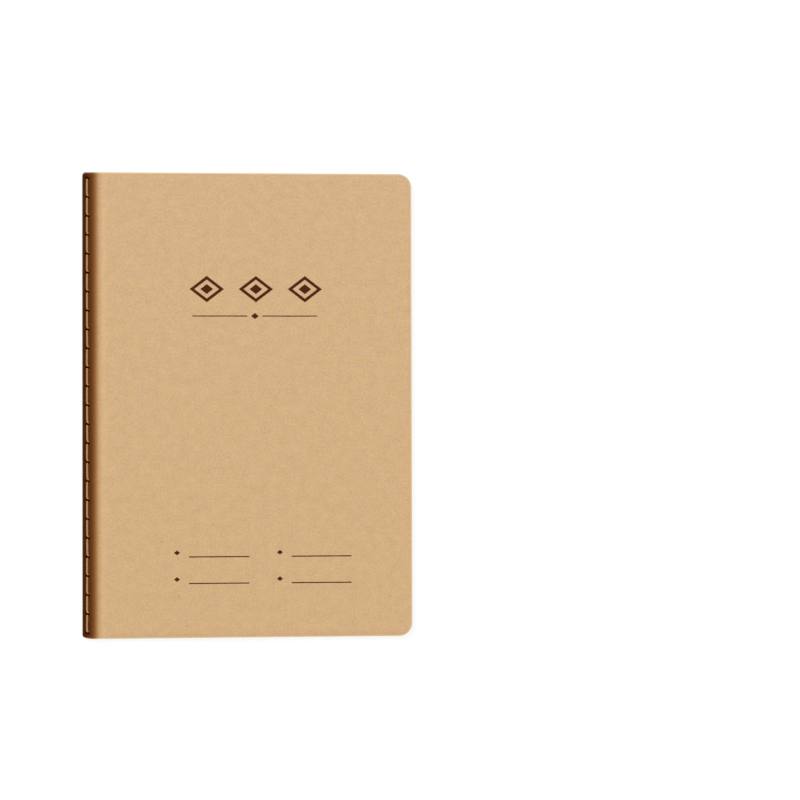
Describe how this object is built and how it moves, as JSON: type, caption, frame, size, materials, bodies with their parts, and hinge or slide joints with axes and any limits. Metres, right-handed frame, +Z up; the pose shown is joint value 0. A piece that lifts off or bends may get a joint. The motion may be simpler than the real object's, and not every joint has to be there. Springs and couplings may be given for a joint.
{
  "type": "notebook",
  "caption": "Side-sewn exercise notebook with a folded kraft card cover, rounded fore-edge corners and ruled leaves that turn on a crease near the spine.",
  "frame": {"origin": "middle of the closed notebook's outline, on the back cover's outer face", "axes": "+X from the spine to the fore edge, +Y from the tail to the head, +Z up out of the front cover"},
  "size_m": [0.184, 0.26, 0.004],
  "materials": {
    "kraft_card": "matte fibrous kraft card",
    "leaf_paper": "matte uncoated ivory paper",
    "thread": "twisted cotton",
    "print_ink": "matte dark brown ink"
  },
  "bodies": {
    "sewn_block": {"back_cover": "kraft_card", "cover_spine": "kraft_card", "sewn_edge": "leaf_paper", "needle_thread": "thread", "bobbin_thread": "thread", "leaf_13": "leaf_paper", "leaf_14": "leaf_paper", "leaf_15": "leaf_paper", "leaf_16": "leaf_paper", "leaf_17": "leaf_paper", "leaf_18": "leaf_paper", "leaf_19": "leaf_paper", "leaf_20": "leaf_paper", "leaf_21": "leaf_paper", "leaf_22": "leaf_paper", "leaf_23": "leaf_paper", "leaf_24": "leaf_paper", "leaf_25": "leaf_paper", "leaf_26": "leaf_paper", "leaf_27": "leaf_paper", "leaf_28": "leaf_paper", "leaf_29": "leaf_paper", "leaf_30": "leaf_paper"},
    "leaf_01": {"leaf_01": "leaf_paper"},
    "leaf_02": {"leaf_02": "leaf_paper"},
    "leaf_03": {"leaf_03": "leaf_paper"},
    "leaf_04": {"leaf_04": "leaf_paper"},
    "leaf_05": {"leaf_05": "leaf_paper"},
    "leaf_06": {"leaf_06": "leaf_paper"},
    "leaf_07": {"leaf_07": "leaf_paper"},
    "leaf_08": {"leaf_08": "leaf_paper"},
    "leaf_09": {"leaf_09": "leaf_paper"},
    "leaf_10": {"leaf_10": "leaf_paper"},
    "leaf_11": {"leaf_11": "leaf_paper"},
    "leaf_12": {"leaf_12": "leaf_paper"},
    "front_cover": {"front_cover": "kraft_card"}
  },
  "joints": [
    {"name": "page_turn", "type": "hinge", "parent": "sewn_block", "child": "leaf_01", "pos_m": [-0.081, 0, 0.0041], "axis": [0, -1, 0], "range_deg": [0, 179.8]},
    {"name": "cover_turn", "type": "hinge", "parent": "leaf_01", "child": "front_cover", "pos_m": [-0.081, 0, 0.0041], "axis": [0, 1, 0], "range_deg": [-179.9, 0]},
    {"name": "leaf_02_turn", "type": "hinge", "parent": "sewn_block", "child": "leaf_02", "pos_m": [-0.081, 0, 0.0041], "axis": [0, -1, 0], "range_deg": [0, 179.8]},
    {"name": "leaf_03_turn", "type": "hinge", "parent": "sewn_block", "child": "leaf_03", "pos_m": [-0.081, 0, 0.0041], "axis": [0, -1, 0], "range_deg": [0, 179.8]},
    {"name": "leaf_04_turn", "type": "hinge", "parent": "sewn_block", "child": "leaf_04", "pos_m": [-0.081, 0, 0.0041], "axis": [0, -1, 0], "range_deg": [0, 179.8]},
    {"name": "leaf_05_turn", "type": "hinge", "parent": "sewn_block", "child": "leaf_05", "pos_m": [-0.081, 0, 0.0041], "axis": [0, -1, 0], "range_deg": [0, 179.8]},
    {"name": "leaf_06_turn", "type": "hinge", "parent": "sewn_block", "child": "leaf_06", "pos_m": [-0.081, 0, 0.0041], "axis": [0, -1, 0], "range_deg": [0, 179.8]},
    {"name": "leaf_07_turn", "type": "hinge", "parent": "sewn_block", "child": "leaf_07", "pos_m": [-0.081, 0, 0.0041], "axis": [0, -1, 0], "range_deg": [0, 179.8]},
    {"name": "leaf_08_turn", "type": "hinge", "parent": "sewn_block", "child": "leaf_08", "pos_m": [-0.081, 0, 0.0041], "axis": [0, -1, 0], "range_deg": [0, 179.8]},
    {"name": "leaf_09_turn", "type": "hinge", "parent": "sewn_block", "child": "leaf_09", "pos_m": [-0.081, 0, 0.0041], "axis": [0, -1, 0], "range_deg": [0, 179.8]},
    {"name": "leaf_10_turn", "type": "hinge", "parent": "sewn_block", "child": "leaf_10", "pos_m": [-0.081, 0, 0.0041], "axis": [0, -1, 0], "range_deg": [0, 179.8]},
    {"name": "leaf_11_turn", "type": "hinge", "parent": "sewn_block", "child": "leaf_11", "pos_m": [-0.081, 0, 0.0041], "axis": [0, -1, 0], "range_deg": [0, 179.8]},
    {"name": "leaf_12_turn", "type": "hinge", "parent": "sewn_block", "child": "leaf_12", "pos_m": [-0.081, 0, 0.0041], "axis": [0, -1, 0], "range_deg": [0, 179.8]}
  ],
  "couplings": [
    {"joint": "leaf_02_turn", "follows": "page_turn", "ratio": 0.9992},
    {"joint": "leaf_03_turn", "follows": "page_turn", "ratio": 0.9984},
    {"joint": "leaf_04_turn", "follows": "page_turn", "ratio": 0.9976},
    {"joint": "leaf_05_turn", "follows": "page_turn", "ratio": 0.9968},
    {"joint": "leaf_06_turn", "follows": "page_turn", "ratio": 0.996},
    {"joint": "leaf_07_turn", "follows": "page_turn", "ratio": 0.9952},
    {"joint": "leaf_08_turn", "follows": "page_turn", "ratio": 0.9944},
    {"joint": "leaf_09_turn", "follows": "page_turn", "ratio": 0.9936},
    {"joint": "leaf_10_turn", "follows": "page_turn", "ratio": 0.9928},
    {"joint": "leaf_11_turn", "follows": "page_turn", "ratio": 0.992},
    {"joint": "leaf_12_turn", "follows": "page_turn", "ratio": 0.9912}
  ]
}
